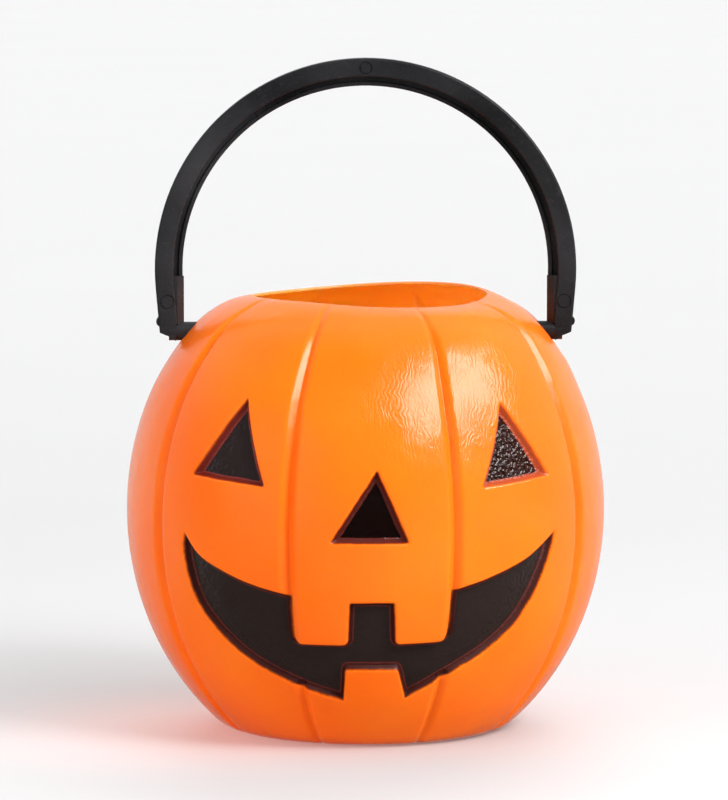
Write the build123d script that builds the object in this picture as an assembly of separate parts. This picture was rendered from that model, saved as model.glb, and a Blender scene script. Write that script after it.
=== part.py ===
"""Halloween candy pail: a lobed pumpkin body with a recessed face and a folding handle.

Lengths are in millimetres and angles in degrees. X runs across the face, the face looks along -Y,
and Z goes up from the plane the pail stands on.
"""
from build123d import *
import os
from math import acos, asin, atan2, cos, degrees, hypot, radians, sin, sqrt, tan

# Pail body
BELLY_R = 108.0            # widest radius, on the crest of a lobe
BELLY_Z = 98.0             # height of the widest ring
BODY_HALF_HEIGHT = 122.0   # vertical half axis of the body's ellipse
SHOULDER_Z = 178.5         # height where the top starts to turn in
TOP_Z = 195.5              # highest level of the body
BASE_ROUND_Z = 4.0         # height where the bottom edge starts to turn in
MOUTH_R = 53.0             # opening cut in the top
WALL = 1.4
BASE_PANEL_R = 46.0        # raised panel under the base
BASE_PANEL_RISE = 3.0
BASE_PANEL_SLOPE = 6.0     # how much smaller the panel is at its top

# Lobes: half of the groove directions, measured from the front; the other half is mirrored
GROOVE_ANGLES = (20.0, 60.0, 120.0, 160.0)
GROOVE_DEPTH = 3.0
GROOVE_ROUND = 0.5         # radius of the crease at the groove's bottom
LOBE_ROUND = 8.0           # radius of the lobes' edges beside a groove
GROOVE_END_SHARE = 0.3     # part of the depth that is left at the mouth and at the base

# Face, as (angle from the front, height) seen from the pail's axis
LEFT_EYE = ((-34.8, 157.5), (-47.6, 122.8), (-26.2, 120.0))
RIGHT_EYE = ((36.6, 155.0), (27.2, 119.3), (48.0, 122.0))
NOSE = ((1.2, 128.6), (-10.0, 96.4), (8.8, 96.4))
LIP_UPPER_LEFT = ((-49.5, 97.0), (-44.5, 87.6), (-36.5, 80.9), (-28.6, 76.2), (-19.8, 72.6))
LIP_UPPER_RIGHT = ((19.8, 74.8), (28.3, 78.9), (38.0, 85.1), (43.3, 90.2), (49.2, 97.2))
LIP_LOWER_RIGHT = ((49.2, 97.2), (46.8, 83.5), (40.6, 61.5), (32.3, 46.9), (18.4, 32.7), (10.0, 24.6))
LIP_LOWER_LEFT = ((-8.0, 23.7), (-19.9, 29.9), (-35.3, 43.4), (-46.2, 64.0), (-49.7, 86.0), (-49.5, 97.0))
TEETH_LEFT = ((-20.1, 50.4), (-6.0, 50.4), (-5.5, 70.0))
TEETH_RIGHT = ((5.5, 70.0), (6.0, 50.8), (19.8, 51.4))
TOOTH_LOWER = ((7.1, 38.8), (-6.9, 38.8))
TOOTH_ROUND = 2.6          # rounding of the teeth's corners
EYE_ROUND = 1.5            # rounding of the corners of the eyes and the nose
RECESS_DEPTH = 3.4
PAINT_THICK = 0.3
PAINT_MARGIN = 0.5         # bare strip between the paint and the recess wall
PAINT_LIFT = 0.05          # clearance between the paint and the floor it lies on

# Handle
PIVOT_RISE = 0.5           # hinge axis above the start of the shoulder
HANDLE_STAND = 14.25       # from the body's crest at the hinge axis to the outer radius of the arch
ARCH_RISE = 28.0           # centre of the arch above the hinge axis
LEG_LEAN = 5.0             # inward lean of the legs below the arch
STRAP_WIDTH = 12.5         # from the outer edge to the edge of the rear flange
STRAP_DEPTH = 8.0          # front to back
FACE_WIDTH = 7.0           # flat front face of the strap
CHANNEL_WIDTH = 2.4        # channel along the inner side, behind the front face
FLANGE_DEPTH = 2.6         # thickness of the rear flange at the channel
LIP_RISE = 1.0             # how far the lip along the flange's edge stands up from the channel
EDGE_BEVEL = 0.8
EDGE_ROUND = 0.4           # rounding of the strap's long edges
FLANGE_END = 25.0          # height above the pivot where the rear flange and the channel stop
KEEL_WIDTH = 0.8           # flat strip left along the inside of each leg below the flange
FOOT_CLEAR = 0.5           # least gap between the foot and the wall while the handle turns
NUB_R = 2.3                # rounded stop on the outer corner of each foot
NUB_ABOVE_PIVOT = 4.5
PEG_R = 4.2
PEG_CLEAR = 0.06           # radial running clearance of the peg in its hole
BARB_R = 5.6
BARB_LEN = 5.0
BARB_SETBACK = 2.5         # gap between the barb and the inside of the wall
MARK_DEPTH = 0.4           # ring-shaped ejector marks on the front of the strap
MARK_WIDTH = 0.6           # width of the ring's line
LEG_MARK_R = 3.3
LEG_MARK_RISE = 13.5       # leg marks above the hinge axis
TOP_MARK_R = 2.9
PIVOT_Z = SHOULDER_Z + PIVOT_RISE
ARCH_Z = PIVOT_Z + ARCH_RISE
LEG_MARK_Z = PIVOT_Z + LEG_MARK_RISE

# Sections of the body along its ellipse, and along the round at each end
BODY_STEPS = 10
END_STEPS = 3

# How far the tools for the face and the cuts reach past the body
REACH = 30.0
FACE_INNER_SHARE = 0.6     # the recess tools end at this part of the belly radius
FACE_Y = 0.8 * BELLY_R     # the face's outlines are drawn on the upright plane at -FACE_Y
SAME_POINT = 0.01          # corners closer than this are the same corner


def end_arc(start, end):
    """Arc that turns the body's ellipse into a flat end, with heights measured from the belly."""
    turn = asin(start / BODY_HALF_HEIGHT)
    slope = atan2(BODY_HALF_HEIGHT * cos(turn), BELLY_R * sin(turn))
    radius = (end - start) / (1 - cos(slope))
    axis_r = BELLY_R * cos(turn) - radius * sin(slope)
    return turn, slope, radius, axis_r


def meridian(inset):
    """Crest outline as (radius, height, groove share) from the base to the top, moved inwards by inset."""
    base_turn, base_slope, base_round, base_r = end_arc(BELLY_Z - BASE_ROUND_Z, BELLY_Z)
    top_turn, top_slope, top_round, top_r = end_arc(SHOULDER_Z - BELLY_Z, TOP_Z - BELLY_Z)
    points = []
    for i in range(END_STEPS):
        lean = base_slope * i / END_STEPS
        points.append((base_r + (base_round - inset) * sin(lean),
                       base_round - (base_round - inset) * cos(lean)))
    for i in range(BODY_STEPS + 1):
        turn = -base_turn + (base_turn + top_turn) * i / BODY_STEPS
        normal = atan2(BELLY_R * sin(turn), BODY_HALF_HEIGHT * cos(turn))
        points.append((BELLY_R * cos(turn) - inset * cos(normal),
                       BELLY_Z + BODY_HALF_HEIGHT * sin(turn) - inset * sin(normal)))
    for i in reversed(range(END_STEPS)):
        lean = top_slope * i / END_STEPS
        points.append((top_r + (top_round - inset) * sin(lean),
                       TOP_Z - top_round + (top_round - inset) * cos(lean)))
    return [(r, z, groove_share(r)) for r, z in points]


def groove_share(r):
    """Part of the groove's depth at crest radius r: full at the belly, less towards both ends."""
    spread = max(0.0, min(1.0, (r - MOUTH_R) / (BELLY_R - MOUTH_R)))
    return GROOVE_END_SHARE + (1 - GROOVE_END_SHARE) * sqrt(spread)


def crest_radius(z):
    """Radius of the lobes' crest at a height on the body's side."""
    if z <= SHOULDER_Z:
        return BELLY_R * sqrt(1 - ((z - BELLY_Z) / BODY_HALF_HEIGHT) ** 2)
    turn, slope, radius, axis_r = end_arc(SHOULDER_Z - BELLY_Z, TOP_Z - BELLY_Z)
    return axis_r + radius * sin(acos((z - TOP_Z + radius) / radius))


ARCH_R = crest_radius(PIVOT_Z) + HANDLE_STAND


def polar(r, angle, z=0.0):
    """Point at radius r; angle 0 is the front and positive angles go to +X."""
    return Vector(r * sin(radians(angle)), -r * cos(radians(angle)), z)


def ring(r, z, share, inset):
    """Closed section of the body: round lobes that turn down at both edges and meet in creases."""
    grooves = sorted([-a for a in GROOVE_ANGLES] + list(GROOVE_ANGLES))
    edge_r = LOBE_ROUND - inset
    crease_r = GROOVE_ROUND + inset
    edge_axis = r - edge_r
    crease_axis = r - GROOVE_DEPTH * share + crease_r
    touch = (edge_axis ** 2 + crease_axis ** 2 - (edge_r + crease_r) ** 2) / (2 * edge_axis * crease_axis)
    turn = degrees(acos(touch))

    def lobe_edge(groove, side):
        """Points of the round edge on one side of a groove: on the lobe, halfway, at the crease."""
        start = polar(r, groove + side * turn, z)
        centre = polar(edge_axis, groove + side * turn, z)
        end = centre + (polar(crease_axis, groove, z) - centre).normalized() * edge_r
        halfway = (start + end - centre * 2).normalized()
        return start, centre + halfway * edge_r, end

    arcs = []
    for left, right in zip(grooves, grooves[1:] + [grooves[0] + 360.0]):
        first = lobe_edge(left, 1)
        last = lobe_edge(right, -1)
        beyond = lobe_edge(right, 1)
        arcs.append(Edge.make_three_point_arc(first[2], first[1], first[0]))
        arcs.append(Edge.make_three_point_arc(first[0], polar(r, (left + right) / 2, z), last[0]))
        arcs.append(Edge.make_three_point_arc(last[0], last[1], last[2]))
        arcs.append(Edge.make_three_point_arc(last[2], polar(crease_axis - crease_r, right, z), beyond[2]))
    return Wire(arcs)


def body(inset):
    """Lobed solid, the outside of the pail moved inwards by inset."""
    return Solid.make_loft([ring(r, z, share, inset) for r, z, share in meridian(inset)])


def smooth_body(inset):
    """Round solid without grooves, moved inwards by inset: what the floors of the face's recesses follow."""
    points = [Vector(r, 0, z) for r, z, share in meridian(inset)]
    foot = Vector(0, 0, points[0].Z)
    head = Vector(0, 0, points[-1].Z)
    side = make_face([Polyline(head, foot, points[0]), Spline(*points), Line(points[-1], head)])
    return revolve(side, Axis.Z)


def flat_points(points):
    """Face points put on the upright plane of the face, along rays from the pail's axis."""
    return [Vector(FACE_Y * tan(radians(angle)), -FACE_Y, z) for angle, z in points]


def rounded_polygon(points, radius):
    """Flat polygon with every corner rounded."""
    flat = make_face(Polyline(*flat_points(points), close=True))
    return fillet(flat.vertices(), radius)


def mouth_outline():
    """Grinning mouth with two upper teeth and one lower tooth."""
    upper_left = flat_points(LIP_UPPER_LEFT)
    upper_right = flat_points(LIP_UPPER_RIGHT)
    lower_right = flat_points(LIP_LOWER_RIGHT)
    lower_left = flat_points(LIP_LOWER_LEFT)
    teeth = flat_points(TEETH_LEFT + TEETH_RIGHT)
    lower_tooth = flat_points(TOOTH_LOWER)
    edges = [
        Spline(*upper_left),
        Polyline(upper_left[-1], *teeth, upper_right[0]),
        Spline(*upper_right),
        Spline(*lower_right),
        Polyline(lower_right[-1], *lower_tooth, lower_left[0]),
        Spline(*lower_left),
    ]
    flat = make_face(edges)
    sharp = teeth + lower_tooth
    picked = [v for v in flat.vertices() if min((v.center() - p).length for p in sharp) < SAME_POINT]
    return fillet(picked, TOOTH_ROUND)


def outline(name):
    """Flat outline of one face feature on the upright plane of the face."""
    if name == "mouth":
        return mouth_outline()
    corners = {"left_eye": LEFT_EYE, "right_eye": RIGHT_EYE, "nose": NOSE}[name]
    return rounded_polygon(corners, EYE_ROUND)


def face_tool(name, grow):
    """Solid that runs from outside the pail towards its axis behind one face feature."""
    flat = outline(name)
    if grow:
        flat = offset(flat, grow)
    wires = []
    for y in (BELLY_R + REACH, BELLY_R * FACE_INNER_SHARE):
        spread = y / FACE_Y
        wires.append(scale(flat, by=(spread, spread, 1)).face().outer_wire())
    return Solid.make_loft(wires, ruled=True)


def base_panel(rise, grow):
    """Shallow cone that pushes the middle of the base up."""
    tool = Solid.make_cone(BASE_PANEL_R + grow, BASE_PANEL_R + grow - BASE_PANEL_SLOPE, BASE_PANEL_RISE)
    return tool.moved(Location((0, 0, rise)))


def peg_hole():
    """Bore for both pegs, along the handle's axis."""
    bore = Solid.make_cylinder(PEG_R + PEG_CLEAR, 2 * (BELLY_R + REACH))
    return Pos(-BELLY_R - REACH, 0, PIVOT_Z) * Rot(0, 90, 0) * bore


def strap_section():
    """Section of the strap as (distance inwards from the outer edge, depth from front to back)."""
    front = -STRAP_DEPTH / 2
    back = STRAP_DEPTH / 2
    small = EDGE_BEVEL / 2
    web = EDGE_BEVEL + FACE_WIDTH + small
    lip = web + CHANNEL_WIDTH
    channel = back - FLANGE_DEPTH
    lip_top = channel - LIP_RISE
    return [
        (0, front + EDGE_BEVEL), (EDGE_BEVEL, front), (web - small, front), (web, front + small),
        (web, channel), (lip, channel), (lip, lip_top), (STRAP_WIDTH - small, lip_top),
        (STRAP_WIDTH, lip_top + small), (STRAP_WIDTH, back - EDGE_BEVEL), (STRAP_WIDTH - EDGE_BEVEL, back),
        (EDGE_BEVEL, back), (0, back - EDGE_BEVEL),
    ]


def strap():
    """Arch with its two legs, swept along the outer edge."""
    lean = radians(LEG_LEAN)
    knee = Vector(ARCH_R * cos(lean), 0, ARCH_Z - ARCH_R * sin(lean))
    drop = (knee.Z - PIVOT_Z + STRAP_WIDTH) / cos(lean)
    end = knee + Vector(-sin(lean), 0, -cos(lean)) * drop
    mirrored = [Vector(-p.X, 0, p.Z) for p in (knee, end)]
    path = Wire([
        Edge.make_line(end, knee),
        Edge.make_three_point_arc(knee, Vector(0, 0, ARCH_Z + ARCH_R), mirrored[0]),
        Edge.make_line(mirrored[0], mirrored[1]),
    ])
    inward = Vector(-cos(lean), 0, sin(lean))
    corners = [end + inward * u + Vector(0, v, 0) for u, v in strap_section()]
    section = make_face(Polyline(*corners, close=True))
    return Solid.sweep(fillet(section.vertices(), EDGE_ROUND).face(), path)


def prism(points, half_depth=REACH):
    """Solid of an outline in the XZ plane, to both sides of it."""
    corners = [Vector(x, 0, z) for x, z in points]
    flat = make_face(Polyline(*corners, close=True))
    return extrude(flat, half_depth, dir=(0, 1, 0), both=True)


def boot():
    """Solid lower end of the right leg, where the channel stops, before the foot is trimmed."""
    outer_x = ARCH_R - STRAP_WIDTH / 2
    inner_x = crest_radius(PIVOT_Z)
    head_z = PIVOT_Z + FLANGE_END
    corners = [(inner_x, PIVOT_Z), (outer_x, PIVOT_Z), (outer_x, head_z), (inner_x, head_z)]
    return prism(corners, STRAP_DEPTH / 2 - EDGE_BEVEL)


def foot_trim():
    """What is cut from the right leg so that it clears the shoulder and ends in a sloping foot."""
    half = STRAP_DEPTH / 2
    foot_x = crest_radius(PIVOT_Z - hypot(half, PEG_R)) + FOOT_CLEAR
    keel_half = KEEL_WIDTH / 2
    keel_x = foot_x - half + keel_half
    slope_x = keel_x + REACH - keel_half
    keel_z = PIVOT_Z + PEG_R - KEEL_WIDTH
    inner = [(0, keel_z), (foot_x, keel_z), (foot_x, PIVOT_Z - REACH), (0, PIVOT_Z - REACH)]
    under = [(foot_x - STRAP_WIDTH, PIVOT_Z - PEG_R - STRAP_WIDTH / 2), (foot_x, PIVOT_Z - PEG_R),
             (ARCH_R - STRAP_WIDTH / 2, PIVOT_Z - PEG_R / 2), (ARCH_R + REACH, PIVOT_Z + STRAP_WIDTH),
             (ARCH_R + REACH, PIVOT_Z - REACH), (foot_x - STRAP_WIDTH, PIVOT_Z - REACH)]
    beside = [(0, -REACH), (slope_x, -REACH), (keel_x, -keel_half),
              (keel_x, keel_half), (slope_x, REACH), (0, REACH)]
    beside_face = make_face(Polyline(*[Vector(x, y, PIVOT_Z) for x, y in beside], close=True))
    return [prism(inner), prism(under), extrude(beside_face, FLANGE_END, dir=(0, 0, 1))]


def peg():
    """Right peg with its barb, from inside the foot to inside the pail."""
    barb_end = crest_radius(PIVOT_Z + BARB_R) - WALL * 2 - BARB_SETBACK
    start = ARCH_R - STRAP_WIDTH / 2
    rod = Solid.make_cylinder(PEG_R, start - barb_end + BARB_LEN)
    barb = Solid.make_cone(BARB_R, PEG_R, BARB_LEN)
    rod = Pos(start, 0, PIVOT_Z) * Rot(0, -90, 0) * rod
    barb = Pos(barb_end, 0, PIVOT_Z) * Rot(0, -90, 0) * barb
    return rod + barb


def nub():
    """Rounded stop on the outer corner of the right foot."""
    lean = radians(LEG_LEAN)
    height = ARCH_Z - PIVOT_Z - NUB_ABOVE_PIVOT
    x = ARCH_R * cos(lean) - (height - ARCH_R * sin(lean)) * tan(lean) - NUB_R / 2
    pin = Solid.make_cylinder(NUB_R, STRAP_DEPTH - 2 * EDGE_BEVEL)
    return Pos(x, STRAP_DEPTH / 2 - EDGE_BEVEL, PIVOT_Z + NUB_ABOVE_PIVOT) * Rot(90, 0, 0) * pin


def ejector_mark(x, z, radius):
    """Shallow ring in the strap's front face."""
    disc = Solid.make_cylinder(radius, 2 * MARK_DEPTH)
    core = Solid.make_cylinder(radius - MARK_WIDTH, 2 * MARK_DEPTH)
    return Pos(x, MARK_DEPTH - STRAP_DEPTH / 2, z) * Rot(90, 0, 0) * (disc - core)


def handle():
    """One moulding: strap, feet, pegs and stops."""
    solid = strap()
    sides = (Plane.YZ, None)
    for plane in sides:
        solid = solid + (mirror(boot(), about=plane) if plane else boot())
    for plane in sides:
        for tool in foot_trim():
            solid = solid - (mirror(tool, about=plane) if plane else tool)
    for plane in sides:
        for tool in (peg(), nub()):
            solid = solid + (mirror(tool, about=plane) if plane else tool)
    mark_x = ARCH_R - EDGE_BEVEL - FACE_WIDTH / 2 - (ARCH_Z - LEG_MARK_Z) * tan(radians(LEG_LEAN))
    for x, z, radius in ((mark_x, LEG_MARK_Z, LEG_MARK_R), (-mark_x, LEG_MARK_Z, LEG_MARK_R),
                         (0, ARCH_Z + ARCH_R - EDGE_BEVEL - FACE_WIDTH / 2, TOP_MARK_R)):
        solid = solid - ejector_mark(x, z, radius)
    return solid


FEATURES = ("left_eye", "right_eye", "nose", "mouth")


def pail_shell():
    """Thin blow-moulded wall: outside with recesses, less an inside that follows it."""
    outside = body(0) - base_panel(0, 0)
    inside = body(WALL) - base_panel(WALL, WALL)
    floor = smooth_body(RECESS_DEPTH)
    back = smooth_body(RECESS_DEPTH + WALL)
    for name in FEATURES:
        outside = outside - (face_tool(name, 0) - floor)
        inside = inside - (face_tool(name, WALL) - back)
    opening = Solid.make_cylinder(MOUTH_R, 2 * REACH).moved(Location((0, 0, TOP_Z - REACH)))
    return outside - inside - opening - peg_hole()


def paint(name):
    """Film on the floor of one recess."""
    layer = smooth_body(RECESS_DEPTH - PAINT_LIFT - PAINT_THICK) - smooth_body(RECESS_DEPTH - PAINT_LIFT)
    return face_tool(name, -PAINT_MARGIN) & layer


def single(shape):
    """The one solid of a result."""
    solids = shape.solids()
    assert len(solids) == 1, len(solids)
    return solids[0]


nodes = {"pail_shell": pail_shell(), "handle": handle()}
for feature in FEATURES:
    nodes[feature + "_paint"] = paint(feature)

os.makedirs("parts", exist_ok=True)
for node, shape in nodes.items():
    export_step(single(shape), "parts/" + node + ".step")
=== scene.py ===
import math
import bpy
import numpy as np
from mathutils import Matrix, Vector


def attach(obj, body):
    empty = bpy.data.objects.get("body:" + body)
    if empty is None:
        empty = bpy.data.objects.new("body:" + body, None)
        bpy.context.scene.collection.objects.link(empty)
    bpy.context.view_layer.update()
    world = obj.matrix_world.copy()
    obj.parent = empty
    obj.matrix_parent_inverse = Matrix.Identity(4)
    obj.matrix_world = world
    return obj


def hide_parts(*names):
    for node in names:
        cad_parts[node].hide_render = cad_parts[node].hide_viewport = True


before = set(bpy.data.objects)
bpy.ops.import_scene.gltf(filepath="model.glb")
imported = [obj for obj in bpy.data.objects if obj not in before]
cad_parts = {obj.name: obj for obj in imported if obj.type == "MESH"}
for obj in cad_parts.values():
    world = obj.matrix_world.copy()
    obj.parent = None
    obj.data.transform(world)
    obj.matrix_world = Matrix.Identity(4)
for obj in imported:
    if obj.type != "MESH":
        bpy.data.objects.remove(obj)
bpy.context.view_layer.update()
MM = 0.001

# Pail sizes in millimetres, the same as the solid model's
BELLY_R, BELLY_Z, HALF_H = 108.0, 98.0, 122.0
SHOULDER_Z, TOP_Z, BASE_ROUND_Z = 178.5, 195.5, 4.0
MOUTH_R, WALL = 53.0, 1.4
PANEL_R, PANEL_RISE, PANEL_SLOPE = 46.0, 3.0, 6.0
GROOVES = (20.0, 60.0, 120.0, 160.0)
GROOVE_DEPTH, GROOVE_END = 3.0, 0.3
PIVOT_Z, HOLE_R = 179.0, 4.26

# Finer shape of the blown wall
GROOVE_TILT = 42.0                      # slope of a groove's walls in degrees
GROOVE_ROUND, LOBE_ROUND = 0.4, 3.0
BEND_SHARE = 0.45                       # most of a groove's depth that one of its two bends takes
BACK_FADE = 32.0                        # length over which the back's grooves run out towards the mouth
BASE_LEAD, BASE_FADE = 6.0, 10.0        # where the grooves start under the base, and their run to full depth
PLAIN_R = 30.0                          # radius of the base's middle, which has no grooves
SEAM_RISE, SEAM_WIDTH = 0.12, 0.45      # parting line along both sides
RECESS = 3.5
RECESS_LEAD, RECESS_RUN = 0.7, 3.0      # where a recess's wall starts outside its outline, and its width
BACK_GROW = 1.2                         # how much wider a recess is on the inner side of the wall

# Set of the thin wall: the top leans to the right, but not beside the right peg hole, and the rim waves by
# the rises that are given as (angle from the front in degrees, millimetres)
TOP_LEAN, LEAN_UNEVEN, LEAN_FROM, LEAN_FULL = 1.5, 0.5, 150.0, 185.0
SEAT_R, SEAT_FADE = 7.0, 8.0
RIM_RISE = [(-145, -0.9), (-90, 0.0), (0, -0.2), (35, -1.2), (90, 1.0), (150, 2.0), (180, 0.8)]
RIM_FADE = 14.0

# Trimmed edge of the opening: its shift to the right, its waves as (size, count, start) and its roundness
MOUTH_SHIFT = 0.5
TRIM_WAVES = [(0.35, 3, 0.8), (0.25, 7, 2.0)]
RIM_OUT = 0.55
RIM_ANGLES = (25, 60, 90, 120, 155)
RIM_STEP = 0.4                          # step back from the edge that gives the wall's direction there

# Face, as (angle from the front in degrees, height, corner rounding); points without a rounding are curves
LEFT_EYE = [(-34.8, 157.5, 1.5), (-47.6, 122.8, 1.5), (-26.2, 120.0, 1.5)]
RIGHT_EYE = [(36.6, 155.0, 1.5), (27.2, 119.3, 1.5), (48.0, 122.0, 1.5)]
NOSE = [(1.2, 128.6, 1.5), (-10.0, 96.4, 1.5), (8.8, 96.4, 1.5)]
MOUTH = [
    [(-49.5, 97.0), (-44.5, 87.6), (-36.5, 80.9), (-28.6, 76.2), (-19.8, 72.6)],
    [(-20.1, 50.4, 4.6), (-6.0, 50.4, 3.2), (-5.5, 70.0, 1.2),
     (5.5, 70.0, 1.2), (6.0, 50.8, 2.6), (19.8, 51.4, 5.8)],
    [(19.8, 74.8), (28.3, 78.9), (38.0, 85.1), (43.3, 90.2), (49.2, 97.2)],
    [(49.2, 97.2), (46.8, 83.5), (40.6, 61.5), (32.3, 46.9), (18.4, 32.7), (10.0, 24.6)],
    [(7.1, 38.8, 1.6), (-6.9, 38.8, 1.6)],
    [(-8.0, 23.7), (-19.9, 29.9), (-35.3, 43.4), (-46.2, 64.0), (-49.7, 86.0), (-49.5, 97.0)],
]

# How finely the surface is worked out
PANEL_POINTS, SLOPE_POINTS, RING_POINTS = 80, 30, 40
LOWER_POINTS, BODY_POINTS, TOP_POINTS = 60, 900, 200
PATH_STEP = 0.25                        # spacing along the outline from the base to the mouth
SMOOTH_POINTS, SMOOTH_WIDTH = 12, 0.9   # filter that rounds the joins of the outline's parts
BASE_LENGTH = 90.0                      # the part of the outline that is looked through for the base's edge
TURN_STEP, LENGTH_STEP = 0.004, 0.3     # steps that the normals are taken over
CURVE_STEPS, CORNER_POINTS = 10, 7
FACE_MARGIN, OUTSIDE = 8.0, -20.0       # distance within which the face is measured, and the value beyond
LEAST_R, LEAST_DEPTH, LEAST_STEP = 1e-3, 1e-6, 1e-6
TINY = 1e-9


def smoothstep(x):
    x = np.clip(x, 0.0, 1.0)
    return x * x * (3 - 2 * x)


def wrapped(theta):
    """Angle brought to within half a turn of the front."""
    return np.mod(theta + np.pi, 2 * np.pi) - np.pi


def end_arc(start, end):
    """Arc that turns the body's ellipse into a flat end, with heights measured from the belly."""
    turn = math.asin(start / HALF_H)
    slope = math.atan2(HALF_H * math.cos(turn), BELLY_R * math.sin(turn))
    radius = (end - start) / (1 - math.cos(slope))
    return turn, slope, radius, BELLY_R * math.cos(turn) - radius * math.sin(slope)


def meridian():
    """Crest outline from the middle of the base to the mouth: length along it, radius and height at dense
    points, and the length at which the flat ring of the base ends."""
    base_turn, base_slope, base_round, base_r = end_arc(BELLY_Z - BASE_ROUND_Z, BELLY_Z)
    top_turn, top_slope, top_round, top_r = end_arc(SHOULDER_Z - BELLY_Z, TOP_Z - BELLY_Z)
    inner = PANEL_R - PANEL_SLOPE
    lower = np.linspace(0, base_slope, LOWER_POINTS)
    turn = np.linspace(-base_turn, top_turn, BODY_POINTS)
    higher = np.linspace(top_slope, 0, TOP_POINTS)
    path = np.concatenate([
        np.linspace([0, PANEL_RISE], [inner, PANEL_RISE], PANEL_POINTS),
        np.linspace([inner, PANEL_RISE], [PANEL_R, 0], SLOPE_POINTS),
        np.linspace([PANEL_R, 0], [base_r, 0], RING_POINTS),
        np.stack([base_r + base_round * np.sin(lower), base_round - base_round * np.cos(lower)], 1),
        np.stack([BELLY_R * np.cos(turn), BELLY_Z + HALF_H * np.sin(turn)], 1),
        np.stack([top_r + top_round * np.sin(higher), TOP_Z - top_round + top_round * np.cos(higher)], 1),
    ])
    path = path[np.r_[True, np.hypot(*np.diff(path, axis=0).T) > LEAST_STEP]]
    length = np.r_[0, np.cumsum(np.hypot(*np.diff(path, axis=0).T))]
    v = np.arange(0, length[-1], PATH_STEP)
    path = np.stack([np.interp(v, length, path[:, k]) for k in (0, 1)], 1)
    kernel = np.exp(-0.5 * (np.arange(-SMOOTH_POINTS, SMOOTH_POINTS + 1) * PATH_STEP / SMOOTH_WIDTH) ** 2)
    kernel /= kernel.sum()
    padded = np.concatenate([path[:1].repeat(SMOOTH_POINTS, 0), path, path[-1:].repeat(SMOOTH_POINTS, 0)])
    padded[:SMOOTH_POINTS, 0] = -path[1:SMOOTH_POINTS + 1, 0][::-1]
    path = np.stack([np.convolve(padded[:, k], kernel, "valid") for k in (0, 1)], 1)
    path[0, 0] = 0.0
    base = v <= BASE_LENGTH
    contact = v[base][np.argmin(np.abs(path[base, 0] - base_r))]
    return v, path[:, 0], path[:, 1], contact


V, CREST_R, CREST_Z, V_BASE = meridian()
UPPER = CREST_Z > BELLY_Z


def v_at_radius(r):
    """Length along the outline at which the upper half has a radius."""
    return np.interp(-r, -CREST_R[UPPER], V[UPPER])


V_MOUTH = v_at_radius(MOUTH_R)
SIDE = (V > V_BASE) & (V < V_MOUTH)


def v_at(z):
    """Length along the outline at which the side has a height."""
    return np.interp(z, CREST_Z[SIDE], V[SIDE])


def groove_drop(across, depth):
    """How deep a groove is at a distance from its middle: a crease, a straight wall and a round lobe edge."""
    tilt = math.radians(GROOVE_TILT)
    slope, bend = math.tan(tilt), 1 - math.cos(tilt)
    lobe = np.minimum(LOBE_ROUND, BEND_SHARE * depth / bend)
    crease = np.minimum(GROOVE_ROUND, BEND_SHARE * depth / bend)
    wall_from = crease * math.sin(tilt)
    wall_to = wall_from + (depth - (lobe + crease) * bend) / slope
    end = wall_to + lobe * math.sin(tilt)
    low = crease - np.sqrt(np.maximum(crease ** 2 - np.minimum(across, wall_from) ** 2, 0))
    middle = crease * bend + (across - wall_from) * slope
    high = depth - lobe + np.sqrt(np.maximum(lobe ** 2 - np.minimum(end - across, lobe) ** 2, 0))
    rise = np.where(across < end, high, depth)
    rise = np.where(across < wall_to, middle, rise)
    rise = np.where(across < wall_from, low, rise)
    return depth - rise


def ring_radius(theta, r, share):
    """Radius of the lobed section at angle theta, for crest radius r and a share of the groove's depth."""
    lines = np.radians([-g for g in GROOVES] + list(GROOVES))
    across = np.abs(wrapped(np.asarray(theta)[..., None] - lines)).min(-1) * r
    return r - groove_drop(across, np.maximum(GROOVE_DEPTH * share, LEAST_DEPTH))


def harmonics(theta):
    waves = [f(k * theta) for k in (1, 2) for f in (np.cos, np.sin)]
    return np.stack([np.ones_like(theta)] + waves, -1)


rim_angles, rim_rises = np.array(RIM_RISE, float).T
RIM_WAVE = np.linalg.lstsq(harmonics(np.radians(rim_angles)), rim_rises, rcond=None)[0]


def place(theta, v, flat=0.0):
    """Point of the outer surface without the face; flat = 1 takes the grooves out."""
    r = np.interp(v, V, CREST_R)
    z = np.interp(v, V, CREST_Z)
    spread = np.clip((r - MOUTH_R) / (BELLY_R - MOUTH_R), 0, 1)
    share = GROOVE_END + (1 - GROOVE_END) * np.sqrt(spread)
    share = share * smoothstep((v - V_BASE + BASE_LEAD) / BASE_FADE) * (1 - flat)
    share = share * (1 - (np.cos(theta) < 0) * smoothstep((v - V_MOUTH + BACK_FADE) / BACK_FADE))
    rho = ring_radius(theta, np.maximum(r, LEAST_R), share)
    rho = np.where(r < PLAIN_R, r, rho)
    seam = np.abs(np.abs(wrapped(theta)) - np.pi / 2) * rho
    rho = rho + SEAM_RISE * np.exp(-(seam / SEAM_WIDTH) ** 2) * (v > V_BASE)
    x, y = rho * np.sin(theta), -rho * np.cos(theta)
    seat = 1 - smoothstep((np.hypot(y, z - PIVOT_Z) - SEAT_R) / SEAT_FADE)
    lean = (TOP_LEAN + LEAN_UNEVEN * np.sin(theta)) * (1 - seat * (x > 0))
    x = x + lean * smoothstep((z - LEAN_FROM) / (LEAN_FULL - LEAN_FROM))
    z = z + harmonics(theta) @ RIM_WAVE * smoothstep((v - V_MOUTH + RIM_FADE) / RIM_FADE)
    return np.stack([x, y, z], -1)


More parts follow.
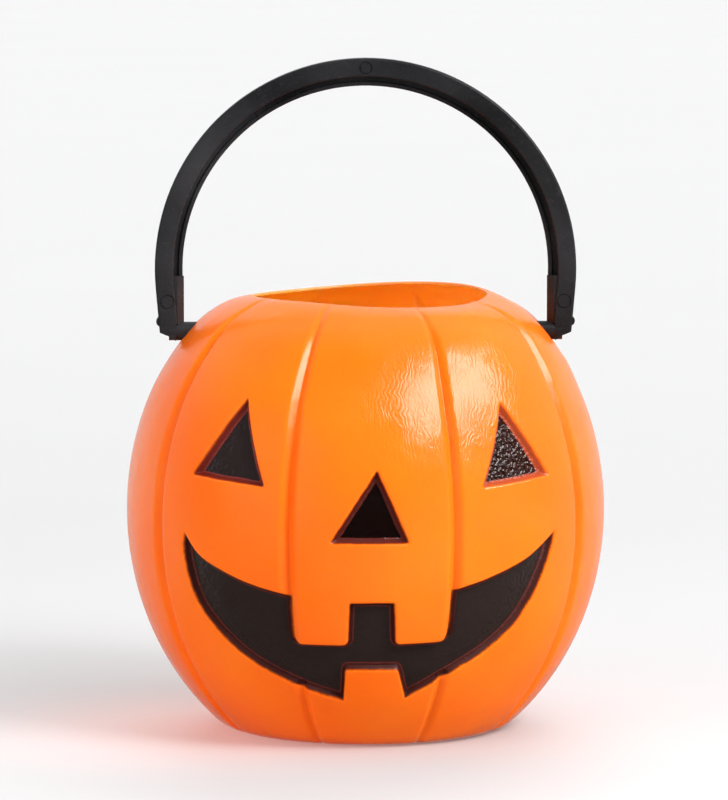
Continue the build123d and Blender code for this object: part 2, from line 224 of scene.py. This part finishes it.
def normals(theta, v, flat=0.0):
    """Outward normals of the surface that place() gives."""
    a = place(theta + TURN_STEP, v, flat) - place(theta - TURN_STEP, v, flat)
    b = (place(theta, np.minimum(v + LENGTH_STEP, V[-1]), flat)
         - place(theta, np.maximum(v - LENGTH_STEP, 0.0), flat))
    n = np.cross(a, b)
    size = np.linalg.norm(n, axis=-1, keepdims=True)
    return np.where(size > TINY, n / np.maximum(size, TINY), np.array([0, 0, -1.0]))


def curve(points):
    """Smooth curve through the points."""
    p = np.array(points, float)
    p = np.concatenate([[2 * p[0] - p[1]], p, [2 * p[-1] - p[-2]]])
    t = np.linspace(0, 1, CURVE_STEPS, endpoint=False)[:, None]
    out = []
    for k in range(1, len(p) - 2):
        a, b, c, d = p[k - 1:k + 3]
        square, cube = 2 * a - 5 * b + 4 * c - d, 3 * b - a - 3 * c + d
        out.append(0.5 * (2 * b + (c - a) * t + square * t ** 2 + cube * t ** 3))
    return np.concatenate(out + [p[-2:-1]])


def unroll(points):
    """(angle, height) points as millimetres on the unrolled surface."""
    p = np.array([q[:2] for q in points], float)
    return np.stack([np.radians(p[:, 0]) * BELLY_R, v_at(p[:, 1])], 1)


def outline(parts):
    """Closed outline on the unrolled surface. Points with a rounding are corners, runs without are curves."""
    pts = []
    for part in parts:
        flat = unroll(part)
        if len(part[0]) == 2:
            pts += [(p, 0.0) for p in curve(flat)]
        else:
            pts += [(p, q[2]) for p, q in zip(flat, part)]
    out = []
    for k, (p, radius) in enumerate(pts):
        if not radius:
            out.append(p)
            continue
        a, b = pts[k - 1][0] - p, pts[(k + 1) % len(pts)][0] - p
        a, b = a / np.linalg.norm(a), b / np.linalg.norm(b)
        for t in np.linspace(0, 1, CORNER_POINTS):
            out.append(p + radius * ((1 - t) ** 2 * a + t ** 2 * b))
    return np.array(out)


def inside_distance(points, poly):
    """Signed distance to a closed outline, positive inside."""
    best = np.full(len(points), np.inf)
    inside = np.zeros(len(points), bool)
    for a, b in zip(poly, np.roll(poly, -1, axis=0)):
        d = b - a
        size = d @ d
        if size < LEAST_STEP ** 2:
            continue
        t = np.clip(((points - a) @ d) / size, 0, 1)
        best = np.minimum(best, ((points - a - t[:, None] * d) ** 2).sum(1))
        if a[1] != b[1]:
            cross = (a[1] > points[:, 1]) != (b[1] > points[:, 1])
            x = a[0] + (points[:, 1] - a[1]) * d[0] / d[1]
            inside ^= cross & (points[:, 0] < x)
    return np.where(inside, 1, -1) * np.sqrt(best)


OUTLINES = {
    "left_eye_paint": outline([LEFT_EYE]),
    "right_eye_paint": outline([RIGHT_EYE]),
    "nose_paint": outline([NOSE]),
    "mouth_paint": outline(MOUTH),
}


def recess_fields(theta, v):
    """Signed distance to each face feature, at the grid's points."""
    u = wrapped(theta) * BELLY_R
    flat = np.stack([u.ravel(), v.ravel()], 1)
    fields = {}
    for name, poly in OUTLINES.items():
        d = np.full(len(flat), OUTSIDE)
        near = ((flat > poly.min(0) - FACE_MARGIN) & (flat < poly.max(0) + FACE_MARGIN)).all(1)
        d[near] = inside_distance(flat[near], poly)
        fields[name] = d.reshape(u.shape)
    return fields


def steps_through(runs):
    """Sorted values from (start, end, step) runs."""
    values = [np.linspace(a, b, max(2, round((b - a) / step) + 1)) for a, b, step in runs]
    return np.unique(np.round(np.concatenate(values), 6))


# Columns of the grid from the front to the back, as (from, to, step) in degrees: fine at the face and grooves
HOLE_COL, HOLE_ROW = 1.5, 2.75          # steps beside the peg holes, in degrees and in millimetres
HOLE_CELLS = 2                          # cells from a hole's middle to the edge of the block it is cut from
HOLE_REACH = HOLE_CELLS + 1             # even cells to each side of a hole's middle
HOLE_FROM, HOLE_TO = 90 - HOLE_REACH * HOLE_COL, 90 + HOLE_REACH * HOLE_COL
half = steps_through([
    (0, 19.2, 0.36), (19.2, 20.8, 0.1), (20.8, 52.5, 0.36), (52.5, 55.5, 0.75), (55.5, 59.2, 0.42),
    (59.2, 60.8, 0.1), (60.8, 64.5, 0.42), (64.5, HOLE_FROM, 1.7), (HOLE_FROM, HOLE_TO, HOLE_COL),
    (HOLE_TO, 115.5, 1.7), (115.5, 119.2, 0.5), (119.2, 120.8, 0.16), (120.8, 124.5, 0.5),
    (124.5, 155.5, 1.9), (155.5, 159.2, 0.5), (159.2, 160.8, 0.16), (160.8, 164.5, 0.5), (164.5, 180, 1.7)])
COLS = np.radians(np.r_[-half[:0:-1][1:], half])

# Rows of the grid by their length along the outline, from the base's middle to the mouth
FIRST_ROW = 4.0
FACE_LOW_Z, FACE_HIGH_Z = 21.0, 161.0
V_PANEL, V_ROUND = V_BASE - 22, V_BASE + 14     # from the raised panel to above the rounded lower edge
V_PIVOT = float(v_at(PIVOT_Z))
V_FACE_LOW, V_FACE_HIGH = float(v_at(FACE_LOW_Z)), float(v_at(FACE_HIGH_Z))
V_HOLE = V_PIVOT + HOLE_ROW * np.arange(-HOLE_REACH, HOLE_REACH + 1)
V_LAST = V_MOUTH - 1.0
below_holes = steps_through([
    (FIRST_ROW, V_PANEL, 3.0), (V_PANEL, V_BASE - 3, 1.1), (V_BASE - 3, V_ROUND, 1.0),
    (V_ROUND, V_FACE_LOW, 1.6), (V_FACE_LOW, V_FACE_HIGH, 0.65), (V_FACE_HIGH, V_HOLE[0], 1.8)])
OUTER_ROWS = np.r_[below_holes[:-1], V_HOLE, steps_through([(V_HOLE[-1], V_LAST, 1.6)])[1:], V_MOUTH]
INNER_ROWS = np.r_[V_MOUTH, steps_through([(V_HOLE[-1], V_LAST, 2.4)])[:0:-1], V_HOLE[::-1],
                   steps_through([(V_ROUND, V_HOLE[0], 3.2)])[::-1][1:],
                   steps_through([(V_PANEL, V_ROUND, 2.0)])[::-1][1:],
                   steps_through([(FIRST_ROW, V_PANEL, 4.0)])[::-1][1:]]


def mouth_v(theta):
    """Where the opening's trimmed edge runs on the outline."""
    r = MOUTH_SHIFT * np.sin(theta) + np.sqrt(MOUTH_R ** 2 - (MOUTH_SHIFT * np.cos(theta)) ** 2)
    for size, count, start in TRIM_WAVES:
        r = r + size * np.sin(count * theta + start)
    return v_at_radius(r)


def trimmed(theta, v):
    """Rows near the mouth moved so that the last one follows the trimmed edge."""
    return v + (mouth_v(theta) - V_MOUTH) * smoothstep((v - V_MOUTH + RIM_FADE) / RIM_FADE)


def build_grid(rows, inset, grow):
    """Points of the wall's outer side (inset 0) or inner side, and the signed distances to the face."""
    theta, v = np.meshgrid(COLS, rows)
    v = trimmed(theta, v)
    fields = recess_fields(theta, v)
    d = np.max(list(fields.values()), axis=0)
    share = smoothstep((d + grow + RECESS_LEAD) / RECESS_RUN)
    pos = place(theta, v, share)
    pos = pos - normals(theta, v, share) * (RECESS * share + inset)[..., None]
    return pos, d, fields


def rim_rows():
    """Rows that round the trimmed edge over from the outer to the inner side."""
    v = trimmed(COLS, np.full(len(COLS), V_MOUTH))
    edge = place(COLS, v)
    n = normals(COLS, v)
    along = edge - place(COLS, v - RIM_STEP)
    along /= np.linalg.norm(along, axis=1, keepdims=True)
    return np.array([edge + along * RIM_OUT * math.sin(a) - n * (WALL / 2) * (1 - math.cos(a))
                     for a in np.radians(RIM_ANGLES)])


CELLS = range(-HOLE_CELLS, HOLE_CELLS)
CELLS_BACK = range(HOLE_CELLS, -HOLE_CELLS, -1)
HOLE_STEPS = ([(i, -HOLE_CELLS) for i in CELLS] + [(HOLE_CELLS, j) for j in CELLS]
              + [(i, HOLE_CELLS) for i in CELLS_BACK] + [(-HOLE_CELLS, j) for j in CELLS_BACK])
HOLE_TRIES = 8


def hole_ring(sign, inset):
    """Points of a peg hole's edge on one side of the wall, one for each step round the block of the grid."""
    pts = []
    for i, j in HOLE_STEPS:
        a = math.atan2(j, i)
        goal = np.array([sign * HOLE_R * math.cos(a), PIVOT_Z + HOLE_R * math.sin(a)])
        aim = goal.copy()
        for _ in range(HOLE_TRIES):
            v = np.array([v_at(aim[1])])
            r = np.interp(v, V, CREST_R)[0]
            theta = np.array([sign * (math.pi / 2 + math.asin(aim[0] / r))])
            p = (place(theta, v) - normals(theta, v) * inset)[0]
            aim += goal - p[1:]
        pts.append(p)
    return np.array(pts)


def new_object(name, verts, faces, attributes):
    """Smooth mesh object from points in millimetres, with a value for each point in each attribute. Points
    that no face uses are left out."""
    used = np.zeros(len(verts), bool)
    used[np.unique(np.array([q for f in faces for q in f]))] = True
    index = np.cumsum(used) - 1
    faces = [tuple(int(index[q]) for q in f) for f in faces]
    mesh = bpy.data.meshes.new(name)
    mesh.from_pydata([tuple(p) for p in verts[used] * MM], [], faces)
    mesh.update()
    for key, values in attributes.items():
        layer = mesh.attributes.new(key, "FLOAT", "POINT")
        layer.data.foreach_set("value", np.asarray(values[used], np.float32))
    mesh.polygons.foreach_set("use_smooth", [True] * len(mesh.polygons))
    obj = bpy.data.objects.new(name, mesh)
    bpy.context.scene.collection.objects.link(obj)
    return obj


def pail_mesh():
    """Closed wall: outer rows from the base's middle to the mouth, a round rim, and inner rows back down."""
    outer, d_outer, fields = build_grid(OUTER_ROWS, 0.0, 0.0)
    rim = rim_rows()
    inner = build_grid(INNER_ROWS, WALL, BACK_GROW)[0]
    grid = np.concatenate([outer, rim, inner])
    rows, count = grid.shape[:2]
    rim_from, rim_to = len(outer), len(outer) + len(rim)
    bottom = float(place(np.zeros(1), np.zeros(1))[0, 2])
    verts = np.concatenate([grid.reshape(-1, 3), [[0, 0, bottom], [0, 0, bottom + WALL]]])

    dropped = set()
    loops = {}
    pivot_rows = {"outer": int(np.argmin(abs(OUTER_ROWS - V_PIVOT))),
                  "inner": rim_to + int(np.argmin(abs(INNER_ROWS - V_PIVOT)))}
    for wall, row in pivot_rows.items():
        up, inset = (1, 0.0) if wall == "outer" else (-1, WALL)
        for sign in (-1, 1):
            col = int(np.argmin(abs(COLS - sign * math.pi / 2)))
            loop = [(row + up * j) * count + col + i for i, j in HOLE_STEPS]
            verts[loop] = hole_ring(sign, inset)
            loops[wall, sign] = loop
            dropped |= {(row + a, col + b) for a in CELLS for b in CELLS}

    faces, within = [], []
    middle = rim_from + len(rim) // 2
    for j in range(rows - 1):
        for i in range(count):
            if (j, i) in dropped:
                continue
            k = (i + 1) % count
            faces.append((j * count + i, j * count + k, (j + 1) * count + k, (j + 1) * count + i))
            within.append(int(j > middle))
    for i in range(count):
        k = (i + 1) % count
        within += [0, 1]
        faces.append((rows * count, k, i))
        faces.append((rows * count + 1, (rows - 1) * count + i, (rows - 1) * count + k))
    for sign in (-1, 1):
        a, b = loops["outer", sign], loops["inner", sign]
        for m in range(len(a)):
            k = (m + 1) % len(a)
            faces.append((a[k], a[m], b[m], b[k]))
            within.append(0)

    recess = np.full((rows, count), OUTSIDE)
    recess[:rim_from] = d_outer
    trim = np.zeros((rows, count))
    trim[rim_from:rim_to] = 1.0
    nearest = np.argmax(np.stack(list(fields.values())), axis=0)
    coat = np.zeros((rows, count))
    coat[:rim_from] = np.array([PAINT[name]["coat"] for name in fields])[nearest]
    obj = new_object("pail_wall", verts, faces, {
        "recess": np.r_[recess.ravel(), OUTSIDE, OUTSIDE],
        "trim": np.r_[trim.ravel(), 0.0, 0.0],
        "coat": np.r_[coat.ravel(), 0.0, 0.0],
    })
    obj.data.materials.append(orange_plastic())
    obj.data.materials.append(orange_inside())
    obj.data.polygons.foreach_set("material_index", within)
    return obj, outer, fields


COAT_FROM = 0.9                         # distance inside a recess's outline where its coat starts
COAT_SUNK, COAT_UNDER = 0.08, 0.2       # depth of the coat's edge and of its hidden side in the plastic
COAT_LIFT, LIFT_FROM, LIFT_RUN = 0.22, 1.0, 0.8


def paint_mesh(name, outer, field):
    """Sprayed coat on one recess: its floor and most of its walls, a little above the plastic."""
    a = np.roll(outer, -1, 1) - np.roll(outer, 1, 1)
    n = np.cross(a, np.gradient(outer, axis=0))
    n /= np.maximum(np.linalg.norm(n, axis=-1, keepdims=True), TINY)
    lift = COAT_LIFT * smoothstep((field - LIFT_FROM) / LIFT_RUN) - COAT_SUNK
    low = outer - n * COAT_UNDER
    top = outer + n * lift[..., None]
    rows, count = field.shape
    keep = field > COAT_FROM
    cells = keep[:-1, :-1] & keep[1:, :-1] & keep[:-1, 1:] & keep[1:, 1:]
    quads = [(j * count + i, j * count + i + 1, (j + 1) * count + i + 1, (j + 1) * count + i)
             for j, i in zip(*np.nonzero(cells))]
    edges = dict.fromkeys((p, q) for f in quads for p, q in zip(f, f[1:] + f[:1]))
    border = [(p, q) for p, q in edges if (q, p) not in edges]
    total = rows * count
    faces = quads + [tuple(k + total for k in reversed(f)) for f in quads]
    faces += [(q, p, p + total, q + total) for p, q in border]
    verts = np.concatenate([top.reshape(-1, 3), low.reshape(-1, 3)])
    return new_object(name.replace("_paint", "_coat"), verts, faces, {
        "recess": np.r_[field.ravel(), field.ravel()],
        "coat": np.full(len(verts), PAINT[name]["coat"]),
    })


def map_range(tree, value, low, high, to_low, to_high, kind):
    """Output of a node that maps a value's range to another."""
    node = tree.nodes.new("ShaderNodeMapRange")
    node.interpolation_type = kind
    tree.links.new(value, node.inputs["Value"])
    for key, number in (("From Min", low), ("From Max", high), ("To Min", to_low), ("To Max", to_high)):
        node.inputs[key].default_value = number
    return node.outputs["Result"]


class Nodes:
    """Small helper that builds a material's node tree."""

    def __init__(self, name):
        self.material = bpy.data.materials.new(name)
        self.material.use_nodes = True
        self.tree = self.material.node_tree
        self.tree.nodes.clear()
        out = self.add("ShaderNodeOutputMaterial")
        self.shader = self.add("ShaderNodeBsdfPrincipled")
        self.link(self.shader.outputs[0], out.inputs[0])
        self.coords = self.add("ShaderNodeTexCoord").outputs["Object"]

    def link(self, a, b):
        self.tree.links.new(a, b)

    def feed(self, socket, value):
        if isinstance(value, bpy.types.NodeSocket):
            self.link(value, socket)
        else:
            socket.default_value = value

    def add(self, kind, **inputs):
        node = self.tree.nodes.new(kind)
        for key, value in inputs.items():
            self.feed(node.inputs[key.replace("_", " ")], value)
        return node

    def set(self, key, value):
        self.feed(self.shader.inputs[key], value)

    def noise(self, scale, detail=2.0, rough=0.5, distortion=0.0, vector=None):
        node = self.add("ShaderNodeTexNoise", Scale=scale, Detail=detail, Roughness=rough,
                        Distortion=distortion, Vector=vector or self.coords)
        return node.outputs["Fac"]

    def stretched(self, x, y, z):
        return self.add("ShaderNodeMapping", Vector=self.coords, Scale=(x, y, z)).outputs[0]

    def distance(self, point):
        node = self.add("ShaderNodeVectorMath")
        node.operation = "DISTANCE"
        self.link(self.coords, node.inputs[0])
        node.inputs[1].default_value = point
        return node.outputs["Value"]

    def attribute(self, name):
        node = self.add("ShaderNodeAttribute")
        node.attribute_name = name
        return node.outputs["Fac"]

    def math(self, op, a, b=0.0):
        node = self.add("ShaderNodeMath")
        node.operation = op
        self.feed(node.inputs[0], a)
        self.feed(node.inputs[1], b)
        return node.outputs[0]

    def span(self, value, low, high, to_low=0.0, to_high=1.0, kind="SMOOTHSTEP"):
        return map_range(self.tree, value, low, high, to_low, to_high, kind)

    def ramp(self, value, stops):
        node = self.add("ShaderNodeValToRGB")
        while len(node.color_ramp.elements) < len(stops):
            node.color_ramp.elements.new(0.5)
        for element, (at, color) in zip(node.color_ramp.elements, stops):
            element.position = at
            element.color = (*color, 1.0)
        self.link(value, node.inputs[0])
        return node.outputs[0]

    def mix(self, fac, a, b):
        node = self.add("ShaderNodeMix")
        node.data_type = "RGBA"
        self.link(fac, node.inputs["Factor"])
        for socket, value in zip((node.inputs[6], node.inputs[7]), (a, b)):
            self.feed(socket, value if isinstance(value, bpy.types.NodeSocket) else (*value, 1.0))
        return node.outputs[2]

    def bump(self, height, strength, distance, normal=None):
        node = self.add("ShaderNodeBump", Strength=strength, Distance=distance, Height=height)
        if normal:
            self.link(normal, node.inputs["Normal"])
        return node.outputs[0]


# Colours of the orange and the black plastic, and of a recess's wall by how thickly the paint coats it,
# darkened also as painted shade in the recess
ORANGE_TONES = [(0.3, (0.97, 0.135, 0.004)), (0.52, (0.99, 0.158, 0.006)), (0.75, (1.0, 0.19, 0.008))]
# Inner side: paler than the same plastic outside, as painted light for the light that comes through the wall
INSIDE_GLOW_TONES = [(0.3, (1.0, 0.42, 0.12)), (0.52, (1.0, 0.46, 0.14)), (0.75, (1.0, 0.5, 0.16))]
# Trimmed edge: a paler orange, as a painted highlight where the edge catches the light
RIM_HIGHLIGHT = (1.0, 0.32, 0.09)
BLACK_TONES = [(0.36, (0.004, 0.004, 0.0044)), (0.64, (0.017, 0.017, 0.0185)), (0.9, (0.042, 0.042, 0.045))]
SCUFF = (0.05, 0.05, 0.052)
SPRAY_AND_SHADE_WALL = [(0.0, (0.9, 0.14, 0.008)), (0.3, (0.45, 0.06, 0.008)), (0.6, (0.15, 0.007, 0.001)),
              (1.0, (0.022, 0.002, 0.0004))]

# Painted areas: coat on the walls, height of the grain, colours of the line round the floor and of the floor;
# the left eye's and the mouth's paler grey floors are a painted reflection of the bright sky
PAINT = {
    "left_eye_paint": {"coat": 0.62, "grain": 0.0004,
                       "edge": (0.2, 0.026, 0.02), "floor": (0.021, 0.013, 0.013)},
    "right_eye_paint": {"coat": 0.36, "grain": 0.0017,
                        "edge": (0.24, 0.045, 0.028), "floor": (0.016, 0.004, 0.002)},
    "nose_paint": {"coat": 0.8, "grain": 0.0004,
                   "edge": (0.07, 0.008, 0.005), "floor": (0.004, 0.0008, 0.0004)},
    "mouth_paint": {"coat": 0.94, "grain": 0.0003,
                    "edge": (0.12, 0.016, 0.011), "floor": (0.023, 0.015, 0.013)},
}

# Distances inside a recess's outline, in millimetres, over which the paint's colour and gloss change
SPRAY_FROM, SPRAY_FULL = -0.5, 0.6
EDGE_FROM, EDGE_FULL = 1.75, 2.1
FLOOR_FROM, FLOOR_FULL = 1.9, 2.6
GLOSS_FROM, GLOSS_FULL = 1.9, 2.4
DULL_FROM, DULL_FULL, DULL = -0.1, 0.8, 0.6

# Places in metres: the middle of the forehead's ridges, and the handle's left leg, which is made paler as a
# painted highlight
RIDGES_AT = (0.043, -0.085, 0.152)
LEFT_LEG_SHEEN_AT = (-0.09, 0.0, 0.22)


def orange(n):
    """Slightly uneven orange of the plastic."""
    return n.ramp(n.noise(11.0), ORANGE_TONES)


def sprayed(n, body, name):
    """Orange that turns red and then black down a recess's wall, from the paint's overspray and from painted
    shade, with a thin red line round the floor.
    """
    ragged = n.span(n.noise(160.0, 4.0, 0.6), 0.25, 0.75, -0.16, 0.16)
    fine = n.span(n.noise(900.0, 3.0, 0.7), 0.25, 0.75, -0.08, 0.08)
    depth = n.math("ADD", n.math("ADD", n.attribute("recess"), ragged), fine)
    share = n.span(depth, SPRAY_FROM, SPRAY_FULL)
    wall = n.mix(share, body, n.ramp(n.attribute("coat"), SPRAY_AND_SHADE_WALL))
    # The floor colour holds a painted reflection of the sky on the left eye and the mouth
    edge, floor = PAINT[name]["edge"], PAINT[name]["floor"]
    low = n.span(depth, FLOOR_FROM, FLOOR_FULL, kind="LINEAR")
    low = n.ramp(low, [(0.3, edge), (0.62, edge), (1.0, floor)])
    return n.mix(n.span(depth, EDGE_FROM, EDGE_FULL), wall, low), share, depth


def ridges(n):
    """Fine wavy ridges that the mould leaves in the plastic, mostly on the right of the forehead."""
    wave = n.add("ShaderNodeTexWave", Scale=160.0, Distortion=14.0, Detail=2.5, Detail_Scale=1.1,
                 Vector=n.stretched(1.0, 1.0, 0.8))
    broken = n.span(n.noise(55.0), 0.38, 0.6, 0.25, 1.0)
    patch = n.math("MULTIPLY", n.span(n.distance(RIDGES_AT), 0.03, 0.065, 1.0, 0.06), broken)
    return n.math("MULTIPLY", wave.outputs["Fac"], patch)


def orange_plastic():
    """Outer side of the wall, with the overspray and painted shade in its recesses and a painted highlight
    along the trimmed edge.
    """
    n = Nodes("orange_plastic_look")
    # The trimmed edge gets the painted highlight
    body = n.mix(n.attribute("trim"), orange(n), RIM_HIGHLIGHT)
    color, share, depth = sprayed(n, body, "mouth_paint")
    n.set("Base Color", color)
    wave = n.bump(n.noise(45.0), 0.3, 0.003)
    grain = n.bump(n.noise(700.0, 3.0, 0.55, 1.0, n.stretched(1, 1, 0.4)), 0.25, 0.0004, wave)
    n.set("Normal", n.bump(ridges(n), 0.5, 0.00012, grain))
    sheen = n.span(n.noise(60.0, 3.0), 0.25, 0.75, 0.15, 0.24)
    n.set("Roughness", n.math("MAXIMUM", sheen, n.span(depth, DULL_FROM, DULL_FULL, 0.0, DULL)))
    n.set("Specular IOR Level", 0.35)
    n.set("Subsurface Weight", n.span(share, 0.0, 0.5, 0.25, 0.0))
    n.set("Subsurface Radius", (1.0, 0.3, 0.06))
    n.set("Subsurface Scale", 0.005)
    return n.material


def orange_inside():
    """Inner side of the thin wall, which lets light from outside through; its paler orange is painted light
    that stands in for more of that light.
    """
    n = Nodes("orange_inside_look")
    n.set("Base Color", n.ramp(n.noise(11.0), INSIDE_GLOW_TONES))
    n.set("Roughness", n.span(n.noise(60.0, 3.0), 0.25, 0.75, 0.35, 0.5))
    n.set("Normal", n.bump(n.noise(70.0, 3.0), 0.3, 0.003))
    n.set("Subsurface Weight", 1.0)
    n.set("Subsurface Radius", (1.0, 0.4, 0.15))
    n.set("Subsurface Scale", 0.01)
    return n.material


def black_paint(name):
    """Glossy, grainy coat of one painted area."""
    n = Nodes(name.replace("_paint", "_coat_look"))
    color, _, depth = sprayed(n, orange(n), name)
    n.set("Base Color", color)
    gloss = n.span(n.noise(120.0, 3.0), 0.3, 0.7, 0.1, 0.22)
    n.set("Roughness", n.math("MAXIMUM", gloss, n.span(depth, GLOSS_FROM, GLOSS_FULL, DULL, 0.0)))
    n.set("Specular IOR Level", 0.45)
    wave = n.bump(n.noise(60.0), 0.35, 0.003)
    n.set("Normal", n.bump(n.noise(620.0, 0.6), 0.9, PAINT[name]["grain"], wave))
    return n.material


def black_plastic():
    """Satin black of the handle, with random tone and scuffs, and a painted highlight that makes its left leg
    paler.
    """
    n = Nodes("black_plastic_look")
    # Random tone of the plastic, plus a painted highlight on the left leg
    tone_and_sheen = n.math("ADD", n.noise(12.0, 3.0, 0.6), n.span(n.distance(LEFT_LEG_SHEEN_AT), 0.02, 0.09, 0.22, 0.0))
    scuff = n.span(n.noise(420.0, 4.0, 0.7, 1.5), 0.5, 0.85, 0.0, 0.5)
    n.set("Base Color", n.mix(scuff, n.ramp(tone_and_sheen, BLACK_TONES), SCUFF))
    n.set("Roughness", n.span(n.noise(35.0, 3.0, 0.6), 0.3, 0.7, 0.24, 0.42))
    n.set("Specular IOR Level", 0.2)
    wave = n.bump(n.noise(90.0), 0.3, 0.0015)
    n.set("Normal", n.bump(n.noise(1400.0), 0.2, 0.0003, wave))
    return n.material


# Floor, a hair below the base so that no two faces share a plane, and its glow
FLOOR_Z = -0.0002
FLOOR_X, FLOOR_FRONT, FLOOR_BACK = 15, -6, 25
FLOOR_TONES = [(0.3, (0.42, 0.42, 0.425)), (0.7, (0.43, 0.43, 0.435))]
FLOOR_GLOW, FLOOR_FADE = 0.5, 1.0
# Near glow: painted light that lightens the floor and the pail's shadow close to the pail
NEAR_GLOW, NEAR_FROM, NEAR_TO = 0.085, 0.1, 0.8
THROUGH_AT, THROUGH_R = (-0.07, -0.02, 0.0), 0.15
THROUGH_GLOW, THROUGH_COLOR = 0.3, (1.0, 0.4, 0.32)


def floor_material():
    """Pale floor. Its glow makes up for the lamps' light, which fades with the distance, and for the light
    that comes through the thin orange wall on its left."""
    n = Nodes("studio_floor")
    n.set("Base Color", n.ramp(n.noise(3.0), FLOOR_TONES))
    n.set("Roughness", 0.6)
    n.set("Specular IOR Level", 0.2)
    away = n.distance((0, 0, 0))
    fading = n.math("EXPONENT", n.math("MULTIPLY", away, -1 / FLOOR_FADE))
    far = n.math("MULTIPLY", n.math("SUBTRACT", 1.0, fading), FLOOR_GLOW)
    white = n.math("ADD", far, n.span(away, NEAR_FROM, NEAR_TO, NEAR_GLOW, 0.0))
    through = n.span(n.distance(THROUGH_AT), 0.0, THROUGH_R, THROUGH_GLOW, 0.0)
    glow = n.math("ADD", white, through)
    n.set("Emission Color", n.mix(n.math("DIVIDE", through, glow), (1.0, 1.0, 1.0), THROUGH_COLOR))
    n.set("Emission Strength", glow)
    return n.material


wall, outer, fields = pail_mesh()
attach(wall, "pail")
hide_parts("pail_shell")

for name, field in fields.items():
    piece = paint_mesh(name, outer, field)
    piece.data.materials.append(black_paint(name))
    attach(piece, "pail")
    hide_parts(name)

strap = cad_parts["handle"]
strap.data.materials.clear()
strap.data.materials.append(black_plastic())

mesh = bpy.data.meshes.new("floor")
mesh.from_pydata([(-FLOOR_X, FLOOR_FRONT, FLOOR_Z), (FLOOR_X, FLOOR_FRONT, FLOOR_Z),
                  (FLOOR_X, FLOOR_BACK, FLOOR_Z), (-FLOOR_X, FLOOR_BACK, FLOOR_Z)], [], [(0, 1, 2, 3)])
floor = bpy.data.objects.new("floor", mesh)
bpy.context.scene.collection.objects.link(floor)
floor.data.materials.append(floor_material())
floor.visible_glossy = False

# Sky: bright behind the pail, dim in front of it and below the horizon, as (from, to, value, value)
SKY_DEPTH = (-0.3, 0.5, 0.06, 0.7)
SKY_HEIGHT = (-0.5, -0.1, 0.2, 1.0)
world = bpy.data.worlds.new("studio")
world.use_nodes = True
tree = world.node_tree
sky = tree.nodes["Background"]
turned = tree.nodes.new("ShaderNodeSeparateXYZ")
tree.links.new(tree.nodes.new("ShaderNodeTexCoord").outputs["Generated"], turned.inputs[0])
both = tree.nodes.new("ShaderNodeMath")
both.operation = "MULTIPLY"
tree.links.new(map_range(tree, turned.outputs["Y"], *SKY_DEPTH, "SMOOTHSTEP"), both.inputs[0])
tree.links.new(map_range(tree, turned.outputs["Z"], *SKY_HEIGHT, "LINEAR"), both.inputs[1])
tree.links.new(both.outputs[0], sky.inputs["Strength"])
sky.inputs["Color"].default_value = (1, 1, 1, 1)
bpy.context.scene.world = world


SUN_ANGLE = 50.0                        # width of the suns in degrees, for soft shadows


def lamp(name, kind, power, way):
    """Lamp that shines along a direction."""
    data = bpy.data.lights.new(name, kind)
    data.energy = power
    obj = bpy.data.objects.new(name, data)
    obj.rotation_euler = Vector(way).to_track_quat("-Z", "Y").to_euler()
    bpy.context.scene.collection.objects.link(obj)
    return obj


def area_light(name, at, target, size, power):
    obj = lamp(name, "AREA", power, Vector(target) - Vector(at))
    obj.location = at
    obj.data.shape = "RECTANGLE"
    obj.data.size, obj.data.size_y = size
    return obj


def sun(name, way, strength):
    obj = lamp(name, "SUN", strength, way)
    obj.data.angle = math.radians(SUN_ANGLE)
    return obj


# One lamp gives the highlights on the forehead, and the others give only diffuse light
gleam = area_light("gleam", (0.9, -0.66, 1.13), (0, 0, 0.13), (1.3, 0.62), 32)
gleam.visible_diffuse = False
soft = [area_light("key", (0.91, -0.83, 1.01), (0, 0, 0.13), (0.6, 0.6), 22),
        area_light("key_soft", (1.0, -1.0, 1.0), (0, 0, 0.1), (1.6, 1.6), 8),
        area_light("top", (0.2, -0.1, 1.9), (0, 0, 0.1), (1.2, 1.2), 7),
        area_light("fill", (-1.5, -1.3, 0.45), (0, 0, 0.08), (1.8, 1.8), 31),
        area_light("side", (1.5, -0.6, 0.35), (0, 0, 0.08), (1.2, 1.2), 7),
        sun("daylight", (-0.55, 0.3, -0.8), 0.8),
        sun("back", (-0.12, -0.87, -0.48), 1.9)]
for light in soft:
    light.visible_glossy = False

# Camera fitted to the photograph, with lengths in metres, angles in radians and the lens in pixels
YAW, PITCH = 0.0269, 0.1111
DISTANCE, HEIGHT = 2.430, 0.4185
FOCAL_PX, OFFSET_PX, LONG_SIDE_PX = 5405.6, 1.575, 800.0
SENSOR, VIEW_END = 36.0, 100.0
data = bpy.data.cameras.new("camera")
camera = bpy.data.objects.new("camera", data)
camera.location = (-DISTANCE * math.sin(YAW), -DISTANCE * math.cos(YAW), HEIGHT)
camera.rotation_euler = (math.pi / 2 - PITCH, 0, -YAW)
data.lens = SENSOR * FOCAL_PX / LONG_SIDE_PX
data.sensor_width = SENSOR
data.shift_x = -OFFSET_PX / LONG_SIDE_PX
data.clip_end = VIEW_END
bpy.context.scene.collection.objects.link(camera)
bpy.context.scene.camera = camera
bpy.context.scene.view_settings.view_transform = "Standard"
